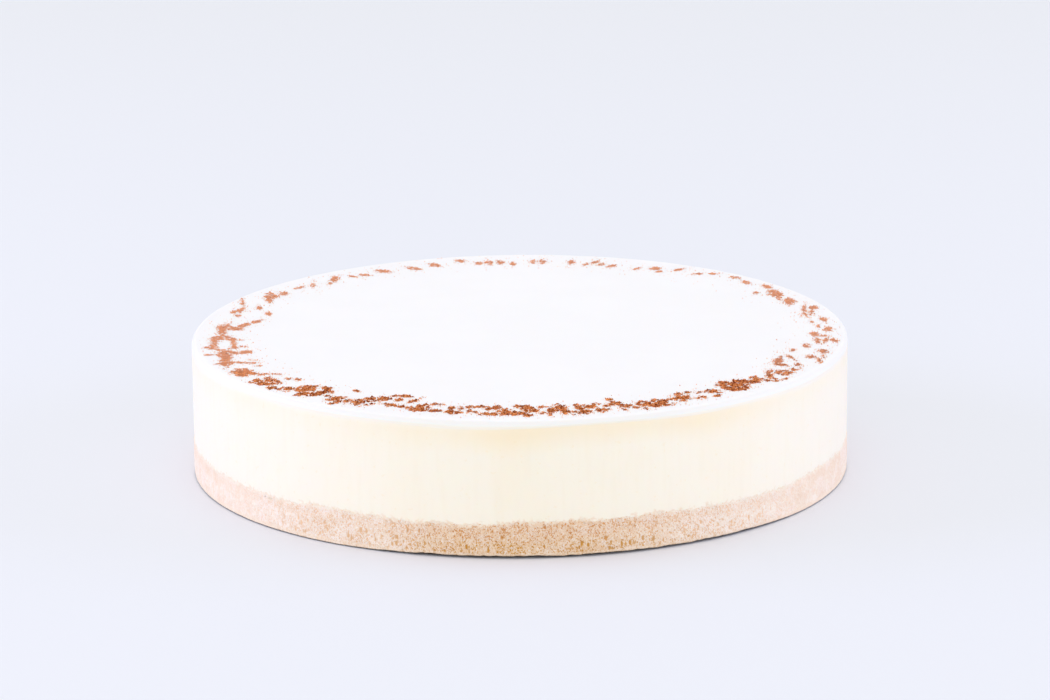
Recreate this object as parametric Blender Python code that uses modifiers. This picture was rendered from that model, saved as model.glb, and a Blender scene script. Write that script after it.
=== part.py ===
"""A whole round baked cheesecake, without its plate or board.

Three layers stand on each other: a pressed biscuit crumb base, a smooth baked cheese filling
and a thin, set sour cream topping. Each layer is one solid that runs right through the cake.
Metres, +Z up, origin in the middle of the underside, the cake's front towards -Y.
"""

import math

import bpy

# Driving dimensions of the cake
CAKE_RADIUS = 0.125
BASE_HEIGHT = 0.0126        # biscuit base, at the side
FILLING_TOP = 0.0485        # top of the baked filling, at the side
CAKE_HEIGHT = 0.0514        # middle of the top
LAYER_GAP = 0.0003          # clearance between two layers

# How the cake differs from a plain turned disc
TOP_RISE = 0.0008           # the top is this much higher at the back rim than in the middle
FILLING_RISE = 0.0003       # and the filling under it by this much
TOP_DISH = 0.0003           # the topping has sunk this much in the middle
RIM_ROUNDING = 0.0019       # radius of the topping's rounded rim
FOOT_TUCK = 0.0009          # the foot of the base is pressed in by this much
FOOT_ROUNDING = 0.0032      # height over which the base curves in to its foot
FILLING_TUCK = 0.0002       # the filling draws in a little above the base as it cools

# Uneven lines round the cake: waves in one turn, size, and phase in degrees from the front
CRUMB_WAVES = (
    (2, 0.00015, 20), (4, 0.00035, 50), (7, 0.00040, -22), (12, 0.00020, 75),
    (19, 0.00018, 10), (31, 0.00020, 140), (46, 0.00018, 60), (61, 0.00015, 200),
)
TOPPING_WAVES = ((3, 0.00010, 40), (6, 0.00030, -12), (11, 0.00028, -35), (17, 0.00008, 90))
SIDE_WAVES = ((2, 0.00012, 15), (3, 0.00010, 80), (5, 0.00008, 160), (9, 0.00004, 30))
FOOT_WAVES = ((5, 0.00010, 200), (14, 0.00010, 45), (37, 0.00012, 10), (53, 0.00010, 120))

# How finely the solids are faceted
STEPS_ROUND = 144
RIM_ARC_STEPS = 5
FOOT_ARC_STEPS = 3
EDGE_BAND = 0.18            # the uneven lines fade out over this share of the radius
MERGE_DISTANCE = 0.00001


# ---------------------------------------------------------------- uneven surfaces

def turn_angle(x, y):
    """Angle round the cake, in radians, from the front at -Y towards +X."""
    return math.atan2(x, -y)


def waved(waves, angle):
    """Height of an uneven closed line at one angle: a sum of waves that fit the turn."""
    return sum(size * math.sin(count * angle + math.radians(phase)) for count, size, phase in waves)


def edge_share(x, y):
    """0 in the middle of the cake, rising smoothly to 1 at its side."""
    share = (math.hypot(x, y) / CAKE_RADIUS - (1 - EDGE_BAND)) / EDGE_BAND
    share = min(max(share, 0.0), 1.0)
    return share * share * (3 - 2 * share)


def table_level(x, y):
    """The flat surface that the cake stands on."""
    return 0.0


def crumb_level(x, y):
    """Top of the biscuit base."""
    return BASE_HEIGHT + edge_share(x, y) * waved(CRUMB_WAVES, turn_angle(x, y))


def filling_level(x, y):
    """Top of the baked filling."""
    slope = FILLING_RISE * y / CAKE_RADIUS
    return FILLING_TOP + slope + edge_share(x, y) * waved(TOPPING_WAVES, turn_angle(x, y))


def topping_level(x, y):
    """Top of the cake: a slight slope, dished in the middle."""
    across = math.hypot(x, y) / CAKE_RADIUS
    return CAKE_HEIGHT + TOP_RISE * y / CAKE_RADIUS - TOP_DISH * (1 - across * across)


def raised(level, height):
    """The same surface, lifted by a height."""
    return lambda x, y: level(x, y) + height


# ---------------------------------------------------------------- turned solids

def arc(centre, radii, start, end, steps):
    """Points of an elliptic arc in the profile plane, angles in degrees from +r towards +z."""
    points = []
    for step in range(steps + 1):
        angle = math.radians(start + (end - start) * step / steps)
        points.append((centre[0] + radii[0] * math.cos(angle), centre[1] + radii[1] * math.sin(angle)))
    return points


def turned_mesh(name, profile):
    """The closed solid that a profile of (radius, height) points sweeps round the Z axis."""
    line = bpy.data.meshes.new(name + "_profile")
    edges = [(i, i + 1) for i in range(len(profile) - 1)]
    line.from_pydata([(radius, 0.0, height) for radius, height in profile], edges, [])
    helper = bpy.data.objects.new(name + "_profile", line)
    bpy.context.scene.collection.objects.link(helper)
    screw = helper.modifiers.new("Turn", "SCREW")
    screw.axis = "Z"
    screw.angle = math.tau
    screw.steps = STEPS_ROUND
    screw.render_steps = STEPS_ROUND
    screw.use_merge_vertices = True
    screw.merge_threshold = MERGE_DISTANCE
    evaluated = helper.evaluated_get(bpy.context.evaluated_depsgraph_get())
    mesh = bpy.data.meshes.new_from_object(evaluated)
    mesh.name = name
    bpy.data.objects.remove(helper)
    bpy.data.meshes.remove(line)
    return mesh


def settle(mesh, lowest, highest, low_level, high_level):
    """Stretch a turned solid between two uneven surfaces and give its side a slight wave.

    lowest and highest are the heights between which the profile was drawn."""
    for vertex in mesh.vertices:
        x, y, height = vertex.co
        share = (height - lowest) / (highest - lowest)
        low = low_level(x, y)
        out = 1 + edge_share(x, y) * waved(SIDE_WAVES, turn_angle(x, y)) / CAKE_RADIUS
        vertex.co = (x * out, y * out, low + share * (high_level(x, y) - low))


def roughen_side(mesh, twist_height):
    """Move the side in and out a little, along waves that turn by a radian in each twist_height."""
    for vertex in mesh.vertices:
        x, y, height = vertex.co
        wave = waved(FOOT_WAVES, turn_angle(x, y) + height / twist_height)
        rough = 1 + edge_share(x, y) * wave / CAKE_RADIUS
        vertex.co = (x * rough, y * rough, height)


def add_layer(name, mesh, material, collection):
    """Put one finished layer into the cake's collection."""
    mesh.materials.clear()
    mesh.materials.append(material)
    mesh.shade_smooth()
    mesh.set_sharp_from_angle(angle=math.radians(50))
    layer = bpy.data.objects.new(name, mesh)
    collection.objects.link(layer)
    return layer


# ---------------------------------------------------------------- materials

def food_material(name, colour, roughness):
    """A matt food surface with one colour."""
    material = bpy.data.materials.new(name)
    material.use_nodes = True
    shader = material.node_tree.nodes["Principled BSDF"]
    shader.inputs["Base Color"].default_value = (*colour, 1.0)
    shader.inputs["Roughness"].default_value = roughness
    shader.inputs["Metallic"].default_value = 0.0
    material.diffuse_color = (*colour, 1.0)
    return material


def biscuit_material():
    """Pale baked biscuit crumb."""
    return food_material("Biscuit crumb", (0.76, 0.58, 0.40), 0.85)


def filling_material():
    """Smooth ivory baked cheese."""
    return food_material("Baked cheese", (0.93, 0.85, 0.68), 0.55)


def topping_material():
    """Set white sour cream."""
    return food_material("Sour cream", (0.95, 0.94, 0.92), 0.42)


# ---------------------------------------------------------------- the three layers

def biscuit_base(collection):
    """Pressed crumb base: flat underside, foot curved in, uneven top edge."""
    foot = arc((CAKE_RADIUS - FOOT_TUCK, FOOT_ROUNDING), (FOOT_TUCK, FOOT_ROUNDING), 0, -90, FOOT_ARC_STEPS)
    profile = [
        (0.0, BASE_HEIGHT),
        (CAKE_RADIUS * (1 - EDGE_BAND), BASE_HEIGHT),
        (CAKE_RADIUS * (1 - EDGE_BAND / 2), BASE_HEIGHT),
        (CAKE_RADIUS, BASE_HEIGHT),
        (CAKE_RADIUS, (BASE_HEIGHT + FOOT_ROUNDING) / 2),
        *foot,
        (0.0, 0.0),
    ]
    mesh = turned_mesh("biscuit_base", profile)
    roughen_side(mesh, BASE_HEIGHT)
    settle(mesh, 0.0, BASE_HEIGHT, table_level, crumb_level)
    return add_layer("biscuit_base", mesh, biscuit_material(), collection)


def cheese_filling(collection):
    """Thick baked filling: a straight smooth side that draws in a little above the base."""
    bottom = BASE_HEIGHT + LAYER_GAP
    waist = bottom + (FILLING_TOP - bottom) / 3
    profile = [
        (0.0, FILLING_TOP),
        (CAKE_RADIUS * (1 - EDGE_BAND), FILLING_TOP),
        (CAKE_RADIUS * (1 - EDGE_BAND / 2), FILLING_TOP),
        (CAKE_RADIUS, FILLING_TOP),
        (CAKE_RADIUS, (FILLING_TOP + waist) / 2),
        (CAKE_RADIUS - FILLING_TUCK / 2, waist),
        (CAKE_RADIUS - FILLING_TUCK, bottom),
        (CAKE_RADIUS * (1 - EDGE_BAND / 2), bottom),
        (CAKE_RADIUS * (1 - EDGE_BAND), bottom),
        (0.0, bottom),
    ]
    mesh = turned_mesh("cheese_filling", profile)
    settle(mesh, bottom, FILLING_TOP, raised(crumb_level, LAYER_GAP), filling_level)
    return add_layer("cheese_filling", mesh, filling_material(), collection)


def sour_cream_topping(collection):
    """Thin white layer over the whole top, with a softly rounded rim."""
    bottom = FILLING_TOP + LAYER_GAP
    rim_centre = (CAKE_RADIUS - RIM_ROUNDING, CAKE_HEIGHT - RIM_ROUNDING)
    profile = [
        (0.0, CAKE_HEIGHT),
        (CAKE_RADIUS / 2, CAKE_HEIGHT),
        (CAKE_RADIUS * (1 - EDGE_BAND), CAKE_HEIGHT),
        *arc(rim_centre, (RIM_ROUNDING, RIM_ROUNDING), 90, 0, RIM_ARC_STEPS),
        (CAKE_RADIUS, bottom),
        (CAKE_RADIUS * (1 - EDGE_BAND / 2), bottom),
        (CAKE_RADIUS * (1 - EDGE_BAND), bottom),
        (0.0, bottom),
    ]
    mesh = turned_mesh("sour_cream_topping", profile)
    settle(mesh, bottom, CAKE_HEIGHT, raised(filling_level, LAYER_GAP), topping_level)
    return add_layer("sour_cream_topping", mesh, topping_material(), collection)


def main():
    for thing in list(bpy.data.objects):
        bpy.data.objects.remove(thing)
    cake = bpy.data.collections.new("Baked cheesecake")
    bpy.context.scene.collection.children.link(cake)
    biscuit_base(cake)
    cheese_filling(cake)
    sour_cream_topping(cake)


main()
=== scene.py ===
# %% [markdown]
# # A baked cheesecake, from the outside in
# The cake is three stacked layers: a pressed biscuit base, a smooth baked filling and a thin
# white topping, with ground spice dusted in a ring through a lace stencil. The sizes come from a
# construction model that is already loaded as a fixed frame, so this lesson only makes what the
# eye sees: fine surfaces, crumbs, powder and their finishes.

# %% Load the frame
import math

import bmesh
import bpy
import numpy as np
from mathutils import Euler, Matrix, Vector, noise


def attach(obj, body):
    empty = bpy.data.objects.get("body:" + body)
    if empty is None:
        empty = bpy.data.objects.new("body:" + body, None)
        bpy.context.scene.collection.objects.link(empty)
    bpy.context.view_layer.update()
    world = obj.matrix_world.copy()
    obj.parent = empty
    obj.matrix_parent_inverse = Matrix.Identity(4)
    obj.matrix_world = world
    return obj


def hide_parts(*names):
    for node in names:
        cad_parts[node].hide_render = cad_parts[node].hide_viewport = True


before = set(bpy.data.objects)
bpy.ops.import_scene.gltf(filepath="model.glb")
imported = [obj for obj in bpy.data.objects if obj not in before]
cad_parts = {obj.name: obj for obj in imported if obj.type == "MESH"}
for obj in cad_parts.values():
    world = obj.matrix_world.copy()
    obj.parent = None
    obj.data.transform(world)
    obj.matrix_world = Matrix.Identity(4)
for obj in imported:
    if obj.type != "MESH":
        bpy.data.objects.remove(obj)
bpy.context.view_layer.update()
MM = 0.001
HIDDEN = 3 * MM              # where two layers meet, their skins go on this far inside the cake
print("layers in the frame:", sorted(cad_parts))

# %% [markdown]
# ## Measuring the layers
# The line between two layers on a real cake is never level, because crumbs are pressed by hand
# and batter settles as it bakes. The frame's solids already hold those uneven lines. We could
# type their sizes again, but reading them keeps every new surface in step with the frame. Each
# line is stored as a height for every angle round the cake, from the front at -Y towards +X.

# %% Measure the layers
STEPS = 144                  # each line is measured at this many places round the cake
STEP = 360 / STEPS


def corners(node):
    """All vertices of a frame solid, as an array of points in metres."""
    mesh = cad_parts[node].data
    flat = np.empty(len(mesh.vertices) * 3, np.float32)
    mesh.vertices.foreach_get("co", flat)
    return flat.reshape(-1, 3).astype(float)


def turn_of(points):
    """Angle round the cake in radians, from the front towards +X."""
    return np.arctan2(points[:, 0], -points[:, 1])


def side_line(node, pick, outermost=0.985):
    """Angles and heights of the highest or lowest line that runs round a layer's side."""
    points = corners(node)
    reach = np.hypot(points[:, 0], points[:, 1])
    points = points[reach > outermost * reach.max()]
    nearest = np.round(np.degrees(turn_of(points)) / STEP).astype(int) % STEPS
    heights = [pick(points[nearest == step, 2]) for step in range(STEPS)]
    return np.radians(np.arange(STEPS) * STEP), np.array(heights)


def read_line(line, turns):
    """Height of a measured line at any angle."""
    return np.interp(turns % math.tau, line[0], line[1], period=math.tau)


def all_round(columns):
    """Even angles all round the cake."""
    return np.arange(columns) / columns * math.tau


def apart(turns, middle):
    """How far angles lie from a middle one, the short way round."""
    return (turns - middle + math.pi) % math.tau - math.pi


crumb_line = side_line("cheese_filling", np.min)
cream_line = side_line("cheese_filling", np.max)
RADIUS = np.hypot(*corners("cheese_filling")[:, :2].T).max() - 0.25 * MM
top = corners("sour_cream_topping")
top = top[top[:, 2] > cream_line[1].max() + 1.5 * MM]
reach_squared = (top[:, 0] ** 2 + top[:, 1] ** 2) / RADIUS**2
inner = reach_squared < 0.95
terms = np.column_stack([np.ones(inner.sum()), top[inner, 1] / RADIUS, reach_squared[inner]])
TOP_MIDDLE, TOP_SLOPE, TOP_DISH = np.linalg.lstsq(terms, top[inner, 2], rcond=None)[0]
print(f"radius {RADIUS / MM:.1f} mm, crumb line {crumb_line[1].mean() / MM:.1f} mm,",
      f"cream line {cream_line[1].mean() / MM:.1f} mm, top {TOP_MIDDLE / MM:.1f} mm")


def top_level(radii, turns):
    """Height of the cake's top, which slopes and dishes a little."""
    share = radii / RADIUS
    return TOP_MIDDLE - TOP_SLOPE * share * np.cos(turns) + TOP_DISH * share**2


# %% [markdown]
# ## Noise that is the same every time
# Food is uneven at several scales at once: soft swells a few centimetres long, lumps of a few
# millimetres, and grain under a millimetre. Blender's displacement textures could do this, but
# here each surface needs to know where its own grains and pits lie, so that colour can follow
# shape. So we sample mathutils.noise ourselves, which always returns the same value for the same
# point, and move vertices by it.

# %% Noise helpers
def cloud(points, size, shift=0.0):
    """Soft noise from -1 to 1. size is the length of one swell, or one length for each axis."""
    scaled = points / np.asarray(size) + shift
    return np.array([noise.noise(point) for point in scaled.tolist()])


def grains(points, size, shift=0.0):
    """Cells like packed grains: nearness to a grain's middle, width of the gap, and a grain number."""
    scaled = points / np.asarray(size) + shift
    near = np.empty((len(points), 3))
    for row, point in enumerate(scaled.tolist()):
        distances, centres = noise.voronoi(point)
        near[row] = distances[0], distances[1] - distances[0], noise.cell(centres[0] * 7.3) * 0.5 + 0.5
    return near.T


def smooth_step(low, high, value):
    """0 below low, 1 above high, and a smooth change between."""
    share = np.clip((value - low) / (high - low), 0, 1)
    return share * share * (3 - 2 * share)


print("the same soft noise each time:", cloud(np.array([(0.3, 0.2, 0.1)]), 1).round(3))

# %% [markdown]
# ## A skin of rings
# Every layer is round, so its skin is a stack of closed rings of points, joined by quads. We could
# subdivide a cylinder and sculpt it, but a stack of rings gives full control of where the points are
# dense, and it lets us unroll the skin ourselves for a sharp texture. A long thin side strip wastes most
# of a square texture, so it is cut into several shelves that lie above each other.

# %% Skin helper
DISC = 0.24                  # on the flat layout, a disc's middle lies this high
DISC_SIZE = 0.2304           # and the disc is this big
MARGIN = 0.01                # between the discs and the lowest shelf


def in_scene(name, data):
    """A new object in the scene."""
    made = bpy.data.objects.new(name, data)
    bpy.context.scene.collection.objects.link(made)
    return made


def smooth_piece(name, points, faces):
    """A smooth-shaded object from points and faces."""
    mesh = bpy.data.meshes.new(name)
    mesh.from_pydata(points.tolist(), [], faces)
    mesh.shade_smooth()
    return in_scene(name, mesh)


def ring_points(radii, heights, turns):
    """Points of rings from arrays of radius and height that have one row for each ring."""
    turns = np.broadcast_to(turns, np.broadcast(radii, heights, turns).shape)
    return np.stack([radii * np.sin(turns), -radii * np.cos(turns), heights + 0 * turns], axis=-1)


def grid_quads(row, column, columns):
    """The four points round each square of a grid that closes on itself."""
    after = (column + 1) % columns
    return np.column_stack([
        row * columns + column, (row + 1) * columns + column,
        (row + 1) * columns + after, row * columns + after,
    ])


def ring_skin(name, columns, shelves, side_rows, groups):
    """A closed mesh from groups of rings, top to bottom, each counted round from the front.

    side_rows is the first and last ring of the outer side, which is unrolled on shelves."""
    rings = np.concatenate([points.reshape(-1, columns, 3) for points in groups])
    rows = len(rings)
    row, column = np.indices((rows - 1, columns)).reshape(2, -1)
    quads = grid_quads(row, column, columns)
    first_cap = list(range(columns))
    last_cap = list(range(rows * columns - 1, (rows - 1) * columns - 1, -1))
    piece = smooth_piece(name, rings.reshape(-1, 3), quads.tolist() + [first_cap, last_cap])
    unroll(piece.data, rings, row, column, shelves, side_rows)
    print(f"{name}: {rows} rings of {columns} points")
    return piece


def unroll(mesh, rings, row, column, shelves, side_rows):
    """Lay the skin flat: the side on shelves, the top and underside as discs beneath them."""
    columns = rings.shape[1]
    lowest, highest = side_rows
    across = columns // shelves
    shelf = np.minimum(column // across, shelves - 1)
    aside = np.array([0, 0, 1, 1])
    along = (column - shelf * across)[:, None] + aside
    down = row[:, None] + np.array([0, 1, 1, 0])
    step = (1 - 2 * DISC - MARGIN) / shelves
    side_u = 0.004 + 0.992 * along / across
    side_v = 2 * DISC + MARGIN + shelf[:, None] * step
    side_v = side_v + step * (0.04 + 0.92 * (highest - down) / (highest - lowest))
    spread = np.hypot(rings[..., 0], rings[..., 1]).max()

    def on_disc(points, shift):
        flat = points[..., :2] / spread * DISC_SIZE + (0.5, DISC)
        flat[..., 0] += shift
        return flat

    above = (down < lowest + 1).all(1)[:, None]
    disc = on_disc(rings[down, (column[:, None] + aside) % columns], np.where(above, -0.25, 0.25))
    on_side = ((row >= lowest) & (row < highest))[:, None, None]
    uv = np.where(on_side, np.stack([side_u, side_v], -1), disc).reshape(-1, 2)
    uv = np.concatenate([uv, on_disc(rings[0], -0.25), on_disc(rings[-1][::-1], 0.25)])
    layer = mesh.uv_layers.new(name="OFBake")
    layer.data.foreach_set("uv", uv.ravel().astype(np.float32))


def note(piece, name, values):
    """Store one number for each point of a piece, which its material can read by name."""
    attribute = piece.data.attributes.new(name, "FLOAT", "POINT")
    attribute.data.foreach_set("value", np.ravel(values).astype(np.float32))


# %% [markdown]
# ## The biscuit base
# Biscuits are crushed, mixed with butter and pressed into the tin. What shows at the side is a
# wall of packed grains, about a millimetre across, with small pits where grains broke away. The
# lower half shows more pits, drawn out upwards because the tin's ring was lifted off. A bump
# texture would look flat along the cake's edge, so the grains and pits are real relief.

# %% Biscuit base: the plain wall
BASE_COLUMNS = 2080
WALL_ROWS = 34
FOOT_ROWS = 5
CRUMB_OVER = 1.7 * MM        # the crumb wall goes on this far above its line, under the cream
FOOT_ROUNDING = 0.8 * MM     # the lower edge is rounded this much at the front,
FOOT_GAP = 0.85 * MM         # stands this far off the table there,
FOOT_REACH = 2.4 * MM        # and touches it this far in
FOOT_GAP_LEAST = 0.14 * MM   # on the other sides it sits almost tight
FOOT_LEAN = 0.5              # towards the right the gap gets lower by up to this share
LIFTED_ROUND = math.radians(14)

base_turns = all_round(BASE_COLUMNS)
base_top = read_line(crumb_line, base_turns)
wander = np.stack([np.cos(base_turns), np.sin(base_turns), 0 * base_turns], -1) * RADIUS
lifted = smooth_step(math.radians(46), math.radians(26), np.abs(apart(base_turns, LIFTED_ROUND)))
foot_gap = FOOT_GAP_LEAST + (FOOT_GAP - FOOT_GAP_LEAST) * lifted
foot_gap *= 1 - FOOT_LEAN * np.clip(np.sin(base_turns), 0, 1)
foot_gap *= 0.85 + 0.35 * cloud(wander, 9 * MM) + 0.2 * cloud(wander, 2.5 * MM)
foot_gap = np.clip(foot_gap, 0.08 * MM, FOOT_GAP)
foot_rounding = FOOT_ROUNDING * (0.45 + 0.55 * lifted)
foot_top = foot_gap + foot_rounding
wall_share = np.linspace(1, 0, WALL_ROWS)[:, None]
wall_heights = foot_top + wall_share * (base_top + CRUMB_OVER - foot_top)
foot_arc = np.radians(np.linspace(0, 90, FOOT_ROWS + 1)[1:, None])
foot_heights = foot_top - foot_rounding * np.sin(foot_arc)
base_heights = np.vstack([wall_heights, foot_heights])
base_radii = np.vstack([
    np.full_like(wall_heights, RADIUS),
    RADIUS - foot_rounding * (1 - np.cos(foot_arc)),
])
spots = ring_points(base_radii, base_heights, base_turns).reshape(-1, 3)
over_line = (base_heights - base_top) / MM
print(f"crumb wall: {len(spots)} points")

# %% [markdown]
# Three sizes of unevenness are added together. Lumps of a few millimetres come from whole bits
# of biscuit, domes of one millimetre are the grains, and pits are cut with long cells of their
# own. Above the crumb line the wall sinks into the filling, and because the grains still stick
# out by different amounts, the line between crumb and cream comes out ragged by itself.

# %% Biscuit base: grains and pits
LUMP, DOME, CRACK, PIT = 0.12, 0.22, 0.1, 0.3    # millimetres out or in
GRAIN = 1.0 * MM
PORE = 0.85 * MM
SLOT = (1.25 * MM, 1.25 * MM, 3.1 * MM)
# Round the front the crumb is painted darker and browner: painted shade on the least lit side.
FRONT_SHADE_AT = math.radians(1)                     # the crumb is brownest here,
FRONT_SHADE_TO_LEFT, FRONT_SHADE_TO_RIGHT = math.radians(22), math.radians(26)   # and this far round

level = spots[:, 2] / MM
lumps = cloud(spots, 6 * MM) + 0.8 * cloud(spots, 2.4 * MM, 5.1)
middle, gap, grain_number = grains(spots, GRAIN)
domes = 1 - np.clip(middle * 1.3, 0, 1) ** 2
cracks = 1 - smooth_step(0.02, 0.2, gap)
lowness = smooth_step(9.5, 3.5, level)
patch = 0.5 + 0.5 * cloud(spots, 11 * MM, 7.2)
slot_middle, _, slot_number = grains(spots, SLOT, 9.7)
pore_middle, _, pore_number = grains(spots, PORE, 3.3)
slots = smooth_step(0.42, 0.2, slot_middle) * (slot_number < 0.02 + lowness * (0.16 + 0.62 * patch))
pores = smooth_step(0.5, 0.15, pore_middle) * (pore_number < 0.12 + 0.12 * patch)
turned = np.degrees(np.abs(turn_of(spots)))
crisp = np.clip(0.18 + smooth_step(64, 24, turned) + 0.7 * smooth_step(90, 112, turned), 0, 1)
pits = np.maximum(slots, pores) * smooth_step(-0.3, -1.6, over_line.ravel()) * crisp
height_out = LUMP * lumps + DOME * (domes - 0.5) - CRACK * cracks - PIT * pits
edge_noise = 0.45 * cloud(spots, 2.6 * MM, 1.9) + 0.5 * cloud(spots, 0.9 * MM, 8.1)
sink = smooth_step(-0.6, 1.3, over_line.ravel() + edge_noise)
height_out = height_out - 1.0 * sink + 0.12
firm = smooth_step(0.2, 1.6, level)
out = spots / np.maximum(np.hypot(spots[:, 0], spots[:, 1]), 1e-6)[:, None]
out[:, 2] = 0
spots = spots + out * (height_out * (0.45 + 0.55 * firm) * MM)[:, None]
spots[:, 2] += 0.12 * MM * cloud(spots, 1.6 * MM, 4.4) * firm
spots[:, 2] = np.maximum(spots[:, 2], 0.05 * MM)
base = ring_skin("crumb_base", BASE_COLUMNS, 7, (1, WALL_ROWS + FOOT_ROWS), [
    ring_points(RADIUS - HIDDEN, base_top - 1 * MM, base_turns), spots,
    ring_points(RADIUS - FOOT_REACH * 0.7, foot_gap * 0.95, base_turns),
    ring_points(RADIUS - FOOT_REACH, 0, base_turns),
])
# Painted shade: the crumb is drawn darker and browner round the front, with soft random patches and a
# little more darkness towards the back.
from_front_shade = turn_of(spots) - FRONT_SHADE_AT
front_shade_spread = np.where(from_front_shade > 0, FRONT_SHADE_TO_RIGHT, FRONT_SHADE_TO_LEFT)
front_shade_and_patches = np.exp(-((from_front_shade / front_shade_spread) ** 2))
front_shade_and_patches += 0.22 * cloud(spots, 30 * MM, 6.4) + 0.16 * cloud(spots, 5 * MM, 1.2)
front_shade_and_patches = np.clip(front_shade_and_patches + 0.3 * smooth_step(2.2, 3.2, np.abs(from_front_shade)), 0, 1)
# Painted shade: the underside and the lowest sliver of the wall are marked here and painted almost
# black-brown, standing in for the shade in the gap under the cake.
under = np.clip(1 - (base_heights - foot_gap) / (0.25 * MM), 0, 1)


def note_wall(name, values, on_sole=0):
    """Store a number for each point of the crumb wall, and a fixed one for the sole."""
    sole = np.full(2 * BASE_COLUMNS, on_sole)
    note(base, name, np.concatenate([np.zeros(BASE_COLUMNS), values.ravel(), sole]))


# Pits and, more faintly, the cracks between grains are painted golden brown in the finish: partly the
# crumb's own colour, partly painted shade.
note_wall("pit", np.maximum(pits, 0.3 * cracks))
note_wall("grain", grain_number)
note_wall("front_shade_and_patches", front_shade_and_patches)
note_wall("crisp", crisp)
note_wall("over", over_line, -12)
note_wall("under", under, 1)
print(f"relief from {height_out.min():.2f} to {height_out.max():.2f} mm")

# %% [markdown]
# ## Finishes from nodes
# A finish is a small graph of nodes around one Principled shader. These helpers keep each graph
# short enough to read: one adds a node, one mixes two colours, and one turns a number into a
# softer or harder step.

# %% Node helpers
def new_finish(name, roughness, gloss=0.5, scatter=None):
    """A material with one Principled shader, and its node tree.

    scatter is the share of light that passes below the surface, its colours' reach, and the depth."""
    material = bpy.data.materials.new(name)
    material.use_nodes = True
    shader = material.node_tree.nodes["Principled BSDF"]
    shader.inputs["Roughness"].default_value = roughness
    shader.inputs["Specular IOR Level"].default_value = gloss
    if scatter:
        for key, value in zip(("Weight", "Radius", "Scale"), scatter):
            shader.inputs["Subsurface " + key].default_value = value
    return material, material.node_tree, shader


def node(tree, kind, inputs=None, **settings):
    """Add one node, set its settings, and set or link its inputs."""
    made = tree.nodes.new(kind)
    for key, value in settings.items():
        setattr(made, key, value)
    for key, value in (inputs or {}).items():
        if isinstance(value, bpy.types.NodeSocket):
            tree.links.new(value, made.inputs[key])
        else:
            made.inputs[key].default_value = value
    return made


def colour(red, green, blue):
    """A colour picked in the usual 0 to 255 steps, as the light-linear numbers that nodes use."""
    parts = [part / 255 for part in (red, green, blue)]
    return (*[p / 12.92 if p < 0.04045 else ((p + 0.055) / 1.055) ** 2.4 for p in parts], 1.0)


def mixed(tree, share, first, second):
    """A colour between two colours. Each is a socket, or red, green and blue in 0 to 255 steps."""
    values = [colour(*value) if isinstance(value, tuple) else value for value in (first, second)]
    return node(tree, "ShaderNodeMix", {0: share, 6: values[0], 7: values[1]}, data_type="RGBA").outputs[2]


def stepped(tree, value, low, high, to_low=0.0, to_high=1.0):
    """Map a number smoothly from the range low..high to to_low..to_high."""
    return node(tree, "ShaderNodeMapRange", {
        "Value": value, "From Min": low, "From Max": high, "To Min": to_low, "To Max": to_high,
    }, interpolation_type="SMOOTHSTEP").outputs["Result"]


def place(tree):
    """Position on the cake, in metres."""
    return node(tree, "ShaderNodeTexCoord").outputs["Object"]


def place_along(tree, axis):
    """Position along one axis."""
    return node(tree, "ShaderNodeSeparateXYZ", {"Vector": place(tree)}).outputs[axis]


def speckle(tree, per_metre, detail=2.0, stretch=None):
    """Noise with about per_metre swells in each metre; stretch scales the axes first."""
    spot = place(tree)
    if stretch:
        spot = node(tree, "ShaderNodeMapping", {"Vector": spot, "Scale": stretch}).outputs["Vector"]
    noisy = {"Vector": spot, "Scale": per_metre, "Detail": detail}
    return node(tree, "ShaderNodeTexNoise", noisy).outputs["Fac"]


def stored(tree, name):
    """A number that was stored on the piece's points."""
    return node(tree, "ShaderNodeAttribute", attribute_name=name).outputs["Fac"]


def bumped(tree, shader, height, distance, strength=1.0):
    """Let a height pattern roughen the shader's surface."""
    bump = node(tree, "ShaderNodeBump", {"Height": height, "Distance": distance, "Strength": strength})
    tree.links.new(bump.outputs["Normal"], shader.inputs["Normal"])


def both(tree, operation, first, second, clamp=False):
    """A sum or product of two numbers that change over the surface."""
    made = node(tree, "ShaderNodeMath", {0: first, 1: second}, operation=operation, use_clamp=clamp)
    return made.outputs[0]


def dress(piece, material):
    """Give a piece its finish, and say so."""
    piece.data.materials.append(material)
    print(f"{piece.name}: {material.name}, {len(material.node_tree.nodes)} nodes")
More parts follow.
